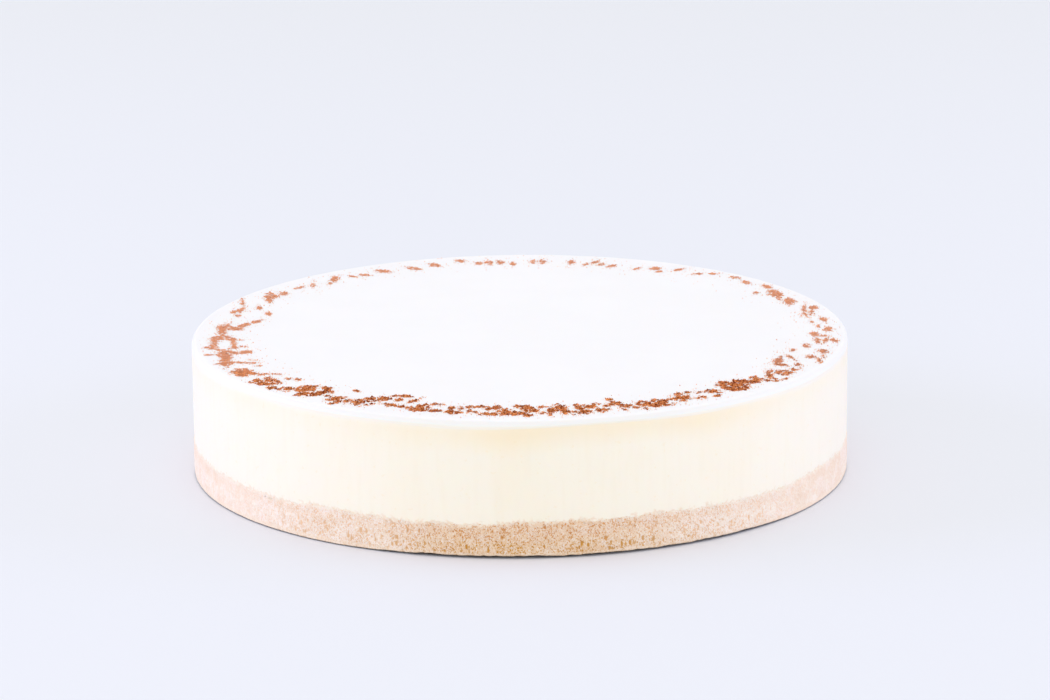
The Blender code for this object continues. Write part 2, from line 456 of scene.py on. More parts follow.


# %% [markdown]
# Baked crumb is pale and dry, and each grain has its own tone. Pits, pores and the cracks between grains
# are painted golden brown, partly the buttery crumb's own colour and partly painted shade for the light
# trapped in them. Round the front the crumb is painted darker and browner, which is painted shade too.
# Near the filling the grains are veiled with cream. Along the lower edge runs a painted highlight, and the
# underside is painted near black, as painted shade.

# %% Biscuit finish
def biscuit_finish():
    material, tree, shader = new_finish("Biscuit crumb", 0.8, 0.2)
    height = place_along(tree, "Z")
    lowness = stepped(tree, height, 9 * MM, 4 * MM)
    front_shade_and_patches = stored(tree, "front_shade_and_patches")
    crisp = stored(tree, "crisp")
    pale = mixed(tree, stored(tree, "grain"), (247, 229, 208), (253, 242, 228))
    # Painted shade: this darker, browner crumb is used round the front.
    shaded_crumb = mixed(tree, stored(tree, "grain"), (230, 195, 153), (241, 213, 179))
    tone = mixed(tree, front_shade_and_patches, pale, shaded_crumb)
    blotch = stepped(tree, speckle(tree, 240), 0.42, 0.68, 0, 0.5)
    tone = mixed(tree, blotch, tone, mixed(tree, front_shade_and_patches, (246, 221, 200), (229, 187, 141)))
    milky = stepped(tree, speckle(tree, 200, 1.0), 0.5, 0.66, 0, 0.5)
    high = stepped(tree, height, 6 * MM, 10 * MM, 0, 0.45)
    tone = mixed(tree, high, tone, mixed(tree, front_shade_and_patches, (246, 222, 198), (238, 206, 174)))
    tone = mixed(tree, milky, tone, mixed(tree, front_shade_and_patches, (252, 238, 227), (238, 214, 192)))

    # Pores and pits are painted golden brown: partly the buttery crumb's own colour, partly painted shade
    # for the light trapped in them.
    pore = mixed(tree, lowness, (214, 150, 84), (208, 148, 44))
    pore = mixed(tree, front_shade_and_patches, (242, 202, 164), pore)
    crowd = stepped(tree, speckle(tree, 330, 1.0, (1, 1, 0.7)), 0.35, 0.65, -0.06, 0.05)
    fine = both(tree, "ADD", speckle(tree, 2000, 1.0, (1, 1, 0.7)), crowd)
    fine = both(tree, "MULTIPLY", stepped(tree, fine, 0.53, 0.61), crisp)
    tone = mixed(tree, fine, tone, pore)
    white = stepped(tree, speckle(tree, 2300, 1.0), 0.55, 0.65)
    white = both(tree, "MULTIPLY", white, crisp)
    tone = mixed(tree, white, tone, mixed(tree, front_shade_and_patches, (254, 245, 240), (241, 227, 214)))
    pit = mixed(tree, lowness, (208, 140, 72), (200, 138, 14))
    pit = mixed(tree, front_shade_and_patches, (243, 205, 166), pit)
    tone = mixed(tree, stepped(tree, stored(tree, "pit"), 0.15, 0.6), tone, pit)

    # Painted highlight: a paler line just above the lower edge.
    rim = stepped(tree, height, 2.1 * MM, 1.5 * MM, 0, 0.55)
    tone = mixed(tree, rim, tone, (250, 230, 204))
    smear = stepped(tree, speckle(tree, 900), 0.3, 0.7, -0.9, 0.9)
    over = both(tree, "ADD", stored(tree, "over"), smear)
    tone = mixed(tree, stepped(tree, over, -1.3, 0.8, 0.0, 0.9), tone, (248, 237, 218))
    # Painted shade: the underside is painted almost black-brown.
    tone = mixed(tree, stored(tree, "under"), tone, (64, 32, 14))
    tree.links.new(tone, shader.inputs["Base Color"])
    grit = both(tree, "ADD", speckle(tree, 2200, 3.0), both(tree, "MULTIPLY", white, 0.4))
    grit = both(tree, "SUBTRACT", grit, both(tree, "MULTIPLY", fine, 0.6))
    bumped(tree, shader, grit, 0.2 * MM, 0.6)
    return material


dress(base, biscuit_finish())

# %% [markdown]
# ## The baked filling
# The filling bakes against the tin's ring, so its side is smooth with only a breath of
# unevenness: soft swells, and faint upright drag marks from the ring. It is drawn in by a hair
# above the crumbs and runs on flush into the white layer.

# %% Filling skin
FILLING_COLUMNS = 1440
FILLING_ROWS = 44
SKIRT = 1.6 * MM             # the cream reaches this far down between the crumbs
FILLING_DEPTH = 36           # millimetres, what the hidden rings say
BAND_SHADE_AT = math.radians(14)   # painted shade deepens the band's yellow most round here

filling_turns = all_round(FILLING_COLUMNS)
low = read_line(crumb_line, filling_turns) - SKIRT
cream_foot = read_line(cream_line, filling_turns)
high = cream_foot - 0.6 * MM
side_heights = np.vstack([
    cream_foot + np.array([[0.4], [0.1], [0.0]]) * MM,
    high + (low - high) * np.linspace(0, 1, FILLING_ROWS - 3)[:, None],
])
side = ring_points(np.full_like(side_heights, RADIUS), side_heights, filling_turns).reshape(-1, 3)
swell = 0.14 * cloud(side, 26 * MM) + 0.03 * cloud(side, (5 * MM, 5 * MM, 30 * MM), 2.2)
swell += 0.012 * cloud(side, (1.8 * MM, 1.8 * MM, 16 * MM), 6.1)
above_crumb = (side_heights - low - SKIRT).ravel() / MM
below_cream = (cream_foot - side_heights).ravel() / MM
flush = smooth_step(4, 0, below_cream)
swell = swell * (1 - flush) - 0.12 * smooth_step(3.0, -0.6, above_crumb)
swell -= 0.15 * smooth_step(-0.05, -0.2, below_cream)
reach = (RADIUS + swell * MM) / RADIUS
side[:, 0] *= reach
side[:, 1] *= reach
filling = ring_skin("baked_filling", FILLING_COLUMNS, 5, (1, FILLING_ROWS), [
    ring_points(RADIUS - HIDDEN, cream_foot - 0.2 * MM, filling_turns), side,
    ring_points(RADIUS - HIDDEN, low + 0.6 * MM, filling_turns),
])
hidden = np.ones(FILLING_COLUMNS)
note(filling, "below_cream", np.concatenate([-hidden, below_cream, FILLING_DEPTH * hidden]))
# Painted light and shade: round the front the yellow band under the topping is painted deeper, painted
# shade, and at the sides it is painted paler near the seam, painted light. Soft random patches are mixed
# in.
from_band_shade = apart(filling_turns, BAND_SHADE_AT)
band_shade = smooth_step(-0.72, -0.3, from_band_shade) * (1 - 0.85 * smooth_step(0.1, 0.6, from_band_shade))
band_shade += 0.3 * cloud(ring_points(RADIUS, 0, filling_turns), 30 * MM, 2.6)
band_shade = np.clip(band_shade, 0, 1)
note(filling, "band_shade", np.tile(band_shade, FILLING_ROWS + 2))
note(filling, "above_crumb", np.concatenate([FILLING_DEPTH * hidden, above_crumb, -hidden]))

# %% [markdown]
# Baked cheese is a warm ivory. Just under the white layer the filling met the oven's heat and is a deeper
# yellow, which fades within a centimetre. Round the front that band is painted deeper still, as painted
# shade, and at the sides it is painted paler, as painted light. A little light passes through the filling,
# so the shader scatters some light beneath the surface.

# %% Filling finish
def filling_finish():
    material, tree, shader = new_finish("Baked cheese", 0.5, 0.35, (0.35, (1.0, 0.75, 0.5), 0.8 * MM))
    fade = stepped(tree, stored(tree, "below_cream"), 0.5, 12.5)
    uneven = speckle(tree, 45, 2.0, (1, 1, 0.35))
    fade = both(tree, "ADD", fade, stepped(tree, uneven, 0.3, 0.7, -0.22, 0.22), clamp=True)
    # Painted shade: the band is painted a deeper yellow round the front.
    band = mixed(tree, stored(tree, "band_shade"), (252, 242, 222), (253, 236, 207))
    tone = mixed(tree, fade, band, (252, 243, 226))
    streaks = stepped(tree, speckle(tree, 420, 2.0, (1, 1, 0.12)), 0.45, 0.75, 0, 0.15)
    tone = mixed(tree, streaks, tone, (246, 233, 208))
    fleck = stepped(tree, speckle(tree, 620, 1.0), 0.68, 0.76, 0, 0.25)
    tone = mixed(tree, fleck, tone, (248, 228, 190))
    # Painted light: at the sides, the cream just under the seam is painted near white.
    painted_side_light = mixed(tree, stored(tree, "band_shade"), (252, 249, 243), tone)
    tone = mixed(tree, stepped(tree, stored(tree, "below_cream"), 2.0, 0.0, 0, 0.3), tone, painted_side_light)
    edge = stepped(tree, stored(tree, "below_cream"), 0.7, 0.0)
    tone = mixed(tree, edge, tone, (252, 244, 230))
    stain = stepped(tree, speckle(tree, 640, 3.0), 0.3, 0.7, -1.1, 1.1)
    low = both(tree, "ADD", stored(tree, "above_crumb"), stain)
    tone = mixed(tree, stepped(tree, low, 0.9, -0.6, 0, 0.7), tone, (242, 218, 191))
    tree.links.new(tone, shader.inputs["Base Color"])
    bumped(tree, shader, speckle(tree, 700, 3.0, (1, 1, 0.5)), 0.06 * MM, 0.5)
    return material


dress(filling, filling_finish())

# %% [markdown]
# ## The white topping
# Sour cream is poured on and sets almost level, with a soft rounded rim. Its top is the cake's
# smoothest surface, with swells so shallow that only a low light finds them. The rings are
# close at the rim, where the shape turns quickly, and wide apart in the middle.

# %% Topping skin
TOPPING_COLUMNS = 720
RIM_ROWS = 14
RIM_ROUNDING = 2.1 * MM
TOP_ROWS = 62

topping_turns = all_round(TOPPING_COLUMNS)
rim_heights = top_level(RADIUS, topping_turns)
band_bottom = read_line(cream_line, topping_turns)
rounding = np.minimum(RIM_ROUNDING, rim_heights - band_bottom)
flat_radii = np.linspace(2 * MM, RADIUS - RIM_ROUNDING, TOP_ROWS)[:, None] + 0 * topping_turns
arc_turn = np.radians(np.linspace(90, 0, RIM_ROWS))[1:, None]
arc_radii = RADIUS - RIM_ROUNDING * (1 - np.cos(arc_turn)) + 0 * topping_turns
arc_heights = rim_heights - rounding * (1 - np.sin(arc_turn))
band_heights = np.vstack([
    (arc_heights[-1] + band_bottom) / 2, band_bottom, band_bottom - 0.45 * MM,
])
band_radii = RADIUS - np.array([0, 0, 0.1])[:, None] * MM + 0 * topping_turns
radii = np.vstack([flat_radii, arc_radii, band_radii])
heights = np.vstack([top_level(flat_radii, topping_turns), arc_heights, band_heights])


def settled(points):
    """The same points, with the soft swells of the topping's level."""
    across = np.hypot(points[:, 0], points[:, 1])
    flat = points * (1, 1, 0)
    swells = 0.10 * cloud(flat, 48 * MM, 0.4) + 0.05 * cloud(flat, 17 * MM, 3.3)
    rise = swells * MM * smooth_step(RADIUS, RADIUS - 8 * MM, across)
    return points + rise[:, None] * (0, 0, 1)


topping = ring_skin("white_topping", TOPPING_COLUMNS, 3, (TOP_ROWS - 1, TOP_ROWS + RIM_ROWS + 1), [
    settled(ring_points(radii, heights, topping_turns).reshape(-1, 3)),
    ring_points(RADIUS - HIDDEN, band_bottom - 0.5 * MM, topping_turns),
])
above_line = np.concatenate([((heights - band_bottom) / MM).ravel(), np.zeros(TOPPING_COLUMNS)])
note(topping, "above_line", above_line)
turning = [np.zeros(TOP_ROWS), 1 - np.sin(arc_turn).ravel(), np.ones(len(band_heights) + 1)]
note(topping, "rim", np.repeat(np.concatenate(turning), TOPPING_COLUMNS))

# %% [markdown]
# The topping is nearly pure white. Its rounded rim and its band are painted a shade greyer than the top,
# painted shade that keeps the curve from looking brighter than the top. It is faintly warm at its lower
# edge, where the ivory filling shines through the thin cream.

# %% Topping finish
def topping_finish():
    material, tree, shader = new_finish("Sour cream", 0.42, 0.3, (0.3, (1.0, 0.85, 0.7), 0.5 * MM))
    swell = stepped(tree, speckle(tree, 30), 0.35, 0.65)
    tone = mixed(tree, swell, (249, 249, 250), (251, 251, 252))
    rim = stored(tree, "rim")
    # Painted shade: the rounded rim and the band are painted a shade greyer than the top.
    tone = mixed(tree, stepped(tree, rim, 0.0, 0.3), tone, (242, 241, 237))
    tone = mixed(tree, stepped(tree, rim, 0.45, 0.95), tone, (245, 245, 238))
    edge = stepped(tree, stored(tree, "above_line"), 1.4, 0.1)
    edge = both(tree, "MULTIPLY", edge, stepped(tree, rim, 0.8, 1.0))
    tone = mixed(tree, edge, tone, (252, 244, 228))
    tree.links.new(tone, shader.inputs["Base Color"])
    bumped(tree, shader, speckle(tree, 260), 0.03 * MM, 0.4)
    return material


dress(topping, topping_finish())

# %% [markdown]
# ## The ring of ground spice
# Ground spice is shaken through a lace stencil that rests on the cake, so it lies in angular
# dabs, some joined by thin bridges. The stencil sat unevenly: on the left the lace is open and
# drawn out, at the front the dabs run into thick clumps, on the right they are small and apart.
# A painted texture would be flat, so the powder is a thin skin of its own with grains standing
# on it. Each dab is written as where it lies and how big it is, and its ragged outline is made
# by noise. Angles run from the front towards +X, radii and sizes are in millimetres, and a fifth
# number says how far the dab leans out of the ring's direction.

# %% Where the dabs of spice lie: angle, radius, length, depth, lean
FRONT_DABS = (
    (-43.5, 112, 6, 9, 40), (-41.8, 116, 4, 8, 20), (-40.2, 113, 4, 8, 10), (-41.3, 106, 5.5, 3, 30),
    (-39.2, 108.5, 4, 1.8, 35), (-37.5, 113.5, 2.4, 2), (-35.3, 102, 2.2, 1.6, 20),
    (-35.3, 114.5, 4.5, 7, 25), (-33.8, 119, 2, 5, 15), (-32.4, 114.5, 3, 5), (-30.6, 113.5, 4.5, 8, -10),
    (-29.2, 108.5, 6, 6), (-27.4, 106, 5, 5, -30), (-26.4, 101.5, 2.4, 2.4), (-27.9, 114.8, 1.4, 5, 25),
    (-24.4, 99.6, 4.4, 2.4), (-24.5, 105, 2.6, 3.2), (-21.3, 104.3, 1.6, 6, 15), (-24.2, 112.7, 6, 2.6),
    (-22, 112.6, 2.4, 3.2), (-20.3, 113, 2.4, 3), (-18.5, 115.2, 5.5, 4.4), (-18, 110.4, 5, 7),
    (-16.8, 106, 2, 2.4), (-15.2, 106.3, 1.4, 2.4), (-15.4, 114.3, 5.5, 3), (-11.8, 114.8, 5.5, 4.4),
    (-12.8, 109.3, 1.6, 3.4), (-11, 110, 1.4, 4), (-9.4, 107, 3.4, 3.4), (-7.4, 106.2, 4, 2.8),
    (-9.2, 112.5, 1.4, 3), (-7.9, 113.5, 1.4, 2.4), (-4.6, 115.8, 9, 3.6), (-2.6, 113, 4.5, 7),
    (-5.8, 108.6, 2.2, 3.4), (-4.4, 107.3, 3.6, 4.4), (-0.8, 114.5, 4.5, 5), (-0.4, 105.6, 2, 3),
    (1.4, 117.4, 3.2, 3.4), (0.9, 112.6, 3, 5, 20), (1.3, 107.4, 4.4, 5.5), (2.6, 111.6, 3, 4),
    (3.9, 114.6, 2.4, 3), (4.2, 107, 3, 2), (5.3, 117, 1.4, 3.4), (6, 111.4, 3, 6), (7.4, 108.8, 5, 8),
    (8, 114, 3, 6), (9.6, 116.4, 4, 5), (11.6, 115.4, 4.4, 5.4), (11.2, 110.4, 3, 5.4),
    (12.8, 109.8, 3, 5.4), (10.8, 106.8, 1.8, 2.2), (14.6, 115.4, 4.8, 4.6), (14.8, 107.2, 2.8, 2.8),
    (13.9, 110, 1.6, 2.2), (16.2, 110.5, 2, 2.4), (18, 108.6, 4.6, 5), (19.4, 112.4, 4, 5, -20),
    (18.5, 116.5, 1.6, 3), (18.2, 102.7, 2.2, 2.4), (20.8, 116, 2.2, 3.4, -20), (22.2, 118.2, 1.6, 3),
    (23.2, 112.4, 5.6, 6), (24.6, 115.4, 5, 5.4), (26.4, 112.8, 6.4, 6.4, -15), (27, 117.4, 5.6, 2.6, -15),
    (29.4, 112, 3.4, 3.6), (31.6, 112.2, 6, 5.4, -15), (30.3, 116, 2.2, 2.2), (32, 107.6, 4.4, 3.4, -25),
    (34.2, 107.8, 2, 1.2), (34.3, 116, 3.6, 2.4, -20), (37, 117.6, 2.6, 2), (38.4, 111.4, 5, 5),
    (36, 110, 2, 1, -20), (38.9, 115, 1.6, 1),
)
RIGHT_DABS = (
    (43.2, 113.5, 9, 11, -30), (43.8, 107.5, 7, 6), (46, 110.8, 10, 7.5, -10), (49, 113, 7, 4.6, -15),
    (51.2, 116, 4.6, 8, -30), (50.6, 110.6, 4.4, 3, -25), (53.5, 120.6, 1.7, 0.9, -20),
    (53.6, 113.4, 5.4, 2.2, -30), (56, 110.4, 4, 1.8, -15), (56.8, 115.8, 6.6, 5, -40),
    (59.6, 117, 3.4, 2, -10), (62.4, 116, 5.4, 2.4, -35), (61.6, 109.6, 3, 6.4, 10),
    (64, 106.7, 9, 2.8, -12), (66.8, 121, 6.4, 1.3, -30), (69.3, 115.7, 3.8, 2.6, -20),
    (67.6, 109, 5, 0.9, -40), (73.4, 118.4, 4.4, 3.2, -35), (70.6, 119.9, 4, 0.8, -20),
    (76.7, 111, 5.4, 2.6, -10), (73, 106.9, 3, 1.3), (81.3, 117, 6, 1.1, 10), (80.9, 113.6, 6.6, 2, -6),
    (84.4, 115.4, 1.6, 3, -20), (85.5, 112.3, 6, 2.6, -6), (81.4, 120.4, 4.4, 2.3, -10),
    (89.5, 117.6, 5.6, 3.4, 10), (92, 114.4, 3.4, 1.2), (96.8, 117.7, 6.4, 2, -5), (95, 112.8, 3.4, 0.9),
)
BACK_DABS = (
    (105.3, 118.6, 5.2, 3.1, 15), (102, 115.6, 7.2, 1.1, 20), (104.4, 114.2, 9, 0.9, 22),
    (101, 112.6, 4.5, 0.9, 5), (111.8, 113.8, 9.1, 4.2, 22), (118.4, 115, 14.3, 4.4, 20),
    (124, 118.4, 5.7, 2.3, 15), (121, 109, 2.9, 1.7, 35), (129, 116.4, 4.8, 2.4, 15),
    (133, 118.6, 4.2, 2.4, 10), (138.4, 117.6, 2.7, 2.8, 20), (140.6, 113.4, 2.5, 4.3, 25),
    (146, 115, 1.6, 4.3, 10), (150.6, 112, 4.5, 4.6, 35), (148.6, 108.4, 2.2, 2.9, 20),
    (154, 109, 1.6, 3.8, 10), (160, 109.4, 2.3, 4.3, 20), (164.2, 113.6, 2.2, 5.2, 8),
    (165.6, 109, 1.6, 3.4), (162.4, 110.4, 1.6, 3.4, 10), (169, 112, 2, 5.2), (175, 111.4, 2.7, 6),
    (177.2, 111, 2.5, 5.2), (-178.6, 108, 1.8, 3.8), (-176, 110.4, 2.7, 5.2), (-173.5, 110.6, 2.9, 6),
    (-171.4, 110.6, 2.7, 4.3), (-168, 115.6, 3.1, 4.3, -30), (-162, 112, 3.3, 5.7, -20),
    (-157, 110.4, 3.1, 6.1, -30), (-150.4, 111.6, 4.3, 7.2, -30), (-145.6, 110, 2.3, 4.2, -35),
    (-143, 111, 1.9, 3.2, -20), (-139, 113.2, 8.6, 2.6, -45), (-136, 108.6, 3.8, 1.5, -40),
    (-132, 111, 4.8, 1.7, -45), (-129, 113, 3.8, 2.3), (-123.2, 111.8, 5.2, 2.9, -20),
    (-121.8, 116.4, 3.8, 2.9, -40), (-120, 113.2, 7.1, 4.7, -35), (-117.3, 110.8, 5.8, 1.9, -35),
    (-113, 118.2, 8.1, 0.9, -30),
)
LEFT_DABS = (
    (-108.2, 114.6, 6.2, 2.2, -8), (-106.4, 116.5, 3.1, 1.4, -20), (-104.2, 113.2, 3.9, 1.2, -30),
    (-111, 109, 4.3, 1.6, -30), (-107, 102, 4.8, 1.4, -30), (-61.2, 116.6, 10.7, 6.8, 15),
    (-59.6, 117.6, 5.8, 5.4, 20), (-54.3, 117.6, 4.4, 3.2, 30), (-52.4, 118.6, 4.4, 4.4, 20),
    (-54, 113.6, 5.4, 3, 25), (-51, 116.8, 3.2, 4.4, 25), (-49, 119, 3.4, 4.4, -15),
    (-51.8, 112.5, 5.4, 1.7, 15), (-50.4, 105.3, 3.2, 2.2, 10), (-52.1, 107.4, 2.2, 2, 20),
    (-46.6, 116.5, 5.4, 6, 20), (-44.8, 109, 3.6, 7, 20),
)

# %% [markdown]
# On the left the lace pattern drew long thin arms. An arm is easier to write by its two ends,
# so these are laid as strokes: angle and radius of one end, of the other end, and the width.

# %% Arms of spice: angle, radius, angle, radius, width
ARMS = (
    (-79.8, 121, -79.6, 116.4, 3.5), (-79.4, 117.4, -87, 116, 2.5), (-86, 117.4, -87.4, 110, 6.2),
    (-86, 112, -84.6, 106.8, 3), (-87, 113.8, -95.4, 114, 2.5), (-92.6, 114.4, -95.6, 115.8, 2.5),
    (-93, 114, -97, 113, 2.3), (-95.2, 111.2, -92.4, 107.2, 4.8), (-94, 109, -98.6, 105, 2.8),
    (-98.4, 104.6, -101.4, 101.8, 2.1), (-84, 109.4, -78.6, 109.3, 1.3), (-78.4, 112.4, -78.6, 109, 1.5),
    (-79.6, 107.6, -79, 105.2, 1.5), (-78.4, 117.2, -77, 113.4, 2.4), (-77.6, 114.6, -73.8, 109, 2.8),
    (-73.6, 110, -75, 106.8, 2.6), (-74, 108, -76, 104.8, 4), (-77, 114.2, -70.4, 115.8, 4),
    (-73.6, 114.8, -65.6, 119.3, 3.3), (-74.9, 122.2, -74.6, 116.4, 1.2), (-68.2, 121.8, -69, 117.8, 1.2),
    (-67.2, 117.8, -69, 114.6, 2.8), (-68.8, 116, -66.9, 109.4, 1.5), (-67, 110.6, -66.3, 107.6, 1.1),
    (-69, 107.6, -68.1, 105.8, 1.3), (-64.2, 108.4, -63.8, 107, 1.1), (-60.8, 116, -58.4, 113, 4.2),
    (-57.6, 113.4, -57.8, 110, 1.2), (-57.4, 109.6, -56.2, 106.6, 1.3), (-54.6, 122.8, -53.8, 119, 1.3),
)
DABS = FRONT_DABS + RIGHT_DABS + BACK_DABS + LEFT_DABS
print(len(DABS), "dabs of spice and", len(ARMS), "arms")

# %% [markdown]
# For every point of a fine grid round the rim we ask how deep it lies inside the nearest dab.
# A dab is a plump diamond: the powers of the two distances are added with a small exponent.
# Powder falls in crumbs, so its outline isn't a smooth curve: cells of a millimetre are let in
# or left out by chance, and soft noise at two scales pulls the edge in and out.

# %% How deep each grid point lies in the spice
SPICE_STEP = 0.26 * MM
SPICE_RING = (97.5 * MM, 122.6 * MM)
SQUARE_AT = 112 * MM         # at this radius the grid's steps are as long both ways
POINTED = 1.4                # how pointed a dab is: 1 is a diamond, 2 an ellipse
DAB_FULLNESS = 1.08          # a dab's powder spreads this much past its laid size
DAB_SPREAD = 0.24            # and this many millimetres more on every side
FAR_OUT = -9.0               # millimetres, where no dab is near
NOISE_REACH = -1.6           # further out than this, noise can't bring powder

spice_radii = np.arange(SPICE_RING[1], SPICE_RING[0], -SPICE_STEP)
spice_columns = int(math.tau * SQUARE_AT / SPICE_STEP)
spice_turns = all_round(spice_columns)
grid_turn, grid_radius = np.meshgrid(spice_turns, spice_radii)


def laid(angle, radius, length, across, lean=0):
    """How deep each grid point lies in one dab, as a share of its half size, and that half size."""
    away = apart(spice_turns, math.radians(angle))
    close = np.abs(away) * radius < length + across + 3
    along = away[close][None] * radius
    outward = spice_radii[:, None] / MM - radius
    c, s = math.cos(math.radians(lean)), math.sin(math.radians(lean))
    half_long, half_across = length / 2 * DAB_FULLNESS, across / 2 * DAB_FULLNESS
    u = np.abs(along * c + outward * s) / half_long
    v = np.abs(outward * c - along * s) / half_across
    return close, 1 - (u**POINTED + v**POINTED) ** (1 / POINTED), min(half_long, half_across)


def as_dab(angle_1, radius_1, angle_2, radius_2, width):
    """An arm, written as a dab: its middle, its length, and how far it leans."""
    radius = (radius_1 + radius_2) / 2
    along = math.radians(angle_2 - angle_1) * radius
    outward = radius_2 - radius_1
    return ((angle_1 + angle_2) / 2, radius, math.hypot(along, outward), width,
            math.degrees(math.atan2(outward, along)))


spice_in = np.full(grid_turn.shape, FAR_OUT)
dab_size = np.ones(grid_turn.shape)
for dab in (*DABS, *(as_dab(*arm) for arm in ARMS)):
    close, share, half = laid(*dab)
    deeper = share * half > spice_in[:, close]
    spice_in[:, close] = np.where(deeper, share * half, spice_in[:, close])
    dab_size[:, close] = np.where(deeper, half, dab_size[:, close])


def on_top(radii, turns):
    """Points on the topping's surface."""
    return settled(ring_points(radii, top_level(radii, turns), turns))


def lighter_off_front(points):
    """0 round the front and 1 away from it: how much lighter the spice is drawn. It is 0 within 42 degrees
    of a point 8 degrees round towards +X, and 1 beyond 85 degrees.
    """
    from_darkest = turn_of(points) - math.radians(8)
    return smooth_step(math.radians(42), math.radians(85), np.abs(from_darkest))


spice_spots = on_top(grid_radius.ravel(), grid_turn.ravel())
near_spice = spice_in.ravel() > NOISE_REACH
spots_near = spice_spots[near_spice]
crumb_middle, crumb_gap, crumb_number = grains(spots_near, 1.0 * MM, 2.9)
raggedness = np.clip(0.35 + 0.36 * dab_size.ravel()[near_spice], 0.5, 1.25)
spice_depth = spice_in.ravel() + DAB_SPREAD
spice_depth[near_spice] += raggedness * (
    0.5 * cloud(spots_near, 2.6 * MM, 7.7)
    + 0.4 * cloud(spots_near, 0.8 * MM, 2.5)
    + 1.2 * (crumb_number - 0.52)
)
veins = 5 * np.abs(cloud(spots_near, 3.4 * MM, 5.5)) - 0.3
spice_depth[near_spice] = np.minimum(spice_depth[near_spice], veins)
print(f"{(spice_depth > 0).mean():.0%} of the ring is covered")

# %% [markdown]
# The powder lies at most half a millimetre deep. Its skin keeps only the grid squares that
# touch a dab, and at a dab's edge it dips just under the cream, so no rim of the skin shows.
# Crumbs of powder are part of the skin's relief: each cell is a low dome with its own height, and the
# creases between the domes are painted darker, as painted shade.

# %% Spice skin
UNDER = -0.07                # millimetres below the cream where no powder lies
deep = smooth_step(-0.05, 0.55, spice_depth)
thickness = np.full(len(deep), UNDER)
speck_middle, _, speck_number = grains(spots_near, 0.62 * MM, 4.7)
speck_dome = 1 - np.clip(speck_middle * 1.25, 0, 1) ** 2
clumps = np.clip(cloud(spots_near, 2.2 * MM, 6.6) + 0.2, 0, 1)
crumb_dome = 1 - np.clip(crumb_middle * 1.2, 0, 1) ** 2
powder = 0.09 + 0.08 * speck_dome + 0.11 * crumb_dome * (0.4 + crumb_number) + 0.08 * clumps
thickness[near_spice] = UNDER + deep[near_spice] * powder
shade = np.zeros(len(deep))
dark_heart = smooth_step(0.15, 0.5, cloud(spots_near, 1.9 * MM, 3.8))
dark_heart *= smooth_step(0.2, 0.9, spice_depth[near_spice])
# Away from the front the spice is drawn lighter and its dark patches fainter.
off_front = lighter_off_front(spots_near)
lightness = 0.2 + 0.45 * (speck_number + crumb_number)
# Painted shade: points in the creases between crumb cells are drawn darker.
lightness = lightness * smooth_step(-0.05, 0.22, crumb_gap) * (1 - (0.9 - 0.6 * off_front) * dark_heart)
shade[near_spice] = lightness + 0.25 * off_front
spice_points = spice_spots.copy()
spice_points[:, 2] += thickness * MM

shown = (spice_depth > 0).reshape(grid_turn.shape)
rows, columns = shown.shape
after = np.roll(shown, -1, axis=1)
squares = shown[:-1] | shown[1:] | after[:-1] | after[1:]
quads = grid_quads(*np.nonzero(squares), columns)[:, [0, 3, 2, 1]]    # to face up
used, renumbered = np.unique(quads, return_inverse=True)
spice = smooth_piece("spice_dusting", spice_points[used], renumbered.reshape(quads.shape).tolist())
note(spice, "deep", deep[used])
note(spice, "shade", shade[used])
print(f"spice skin: {len(quads)} squares")

# %% [markdown]
# ## Crumbs and grains
# Thousands of separate objects would be slow, so all grains of one kind are one mesh. We try
# many random places, and keep each with a chance that depends on how deep it lies in the spice.

# %% Grain helpers
rng = np.random.default_rng(11)
TRIES = 170000
WIDEST = 122.4 * MM          # no grain lies further out
try_turn = rng.uniform(0, math.tau, TRIES)
try_radius = np.sqrt(rng.uniform(SPICE_RING[0] ** 2, WIDEST**2, TRIES))
try_row = np.clip(((SPICE_RING[1] - try_radius) / SPICE_STEP).round().astype(int), 0, rows - 1)
try_column = (try_turn / math.tau * columns).round().astype(int) % columns
try_depth = spice_depth.reshape(rows, columns)[try_row, try_column]
try_lift = thickness.reshape(rows, columns)[try_row, try_column] * MM


def chosen(chance, middle_size, spread, limits):
    """Some of the tried spots: where they are, how deep in the spice, how high, and grain sizes."""
    keep = rng.uniform(size=TRIES) < chance
    sizes = np.clip(rng.lognormal(math.log(middle_size), spread, keep.sum()), *limits) * MM
    return on_top(try_radius[keep], try_turn[keep]), try_depth[keep], try_lift[keep], sizes


def stones(name, spots, sizes, tones, shape, sides):
    """Many rough stones as one mesh. shape and sides are one stone's corners and triangles."""
    count = len(spots)
    stretch = rng.uniform(0.65, 1.2, (count, 1, 3)) * sizes[:, None, None] / 2
    corners_in = shape * stretch * rng.uniform(0.75, 1.2, (count, len(shape), 1))
    angles = rng.uniform(0, math.tau, (count, 3)).tolist()
    turns = np.array([Euler(three).to_matrix() for three in angles])
    placed = np.einsum("nij,nkj->nki", turns, corners_in) + spots[:, None]
    triangles = (sides + len(shape) * np.arange(count)[:, None, None]).reshape(-1, 3)
    made = smooth_piece(name, placed.reshape(-1, 3), triangles.tolist())
    note(made, "grain", np.repeat(tones, len(shape)))
    print(f"{name}: {count} grains")
    return made


# %% [markdown]
# Crumbs lie on the dabs themselves. Each starts as a ball of twenty triangles, pulled out of
# round and lit as if smooth, so no two look alike and none looks like a crystal.

# %% Crumbs on the dabs
ball = bmesh.new()
bmesh.ops.create_icosphere(ball, subdivisions=1, radius=1)
BALL = np.array([corner.co for corner in ball.verts])
BALL_SIDES = np.array([[corner.index for corner in side.verts] for side in ball.faces])
ball.free()
CRUMB_CHANCE = 0.36
CRUMB_SIZES = (0.24, 0.75)   # millimetres, and most are near 0.4
spots, _, lifts, sizes = chosen(np.where(try_depth > 0, CRUMB_CHANCE, 0), 0.4, 0.3, CRUMB_SIZES)
spots[:, 2] += lifts + 0.1 * sizes
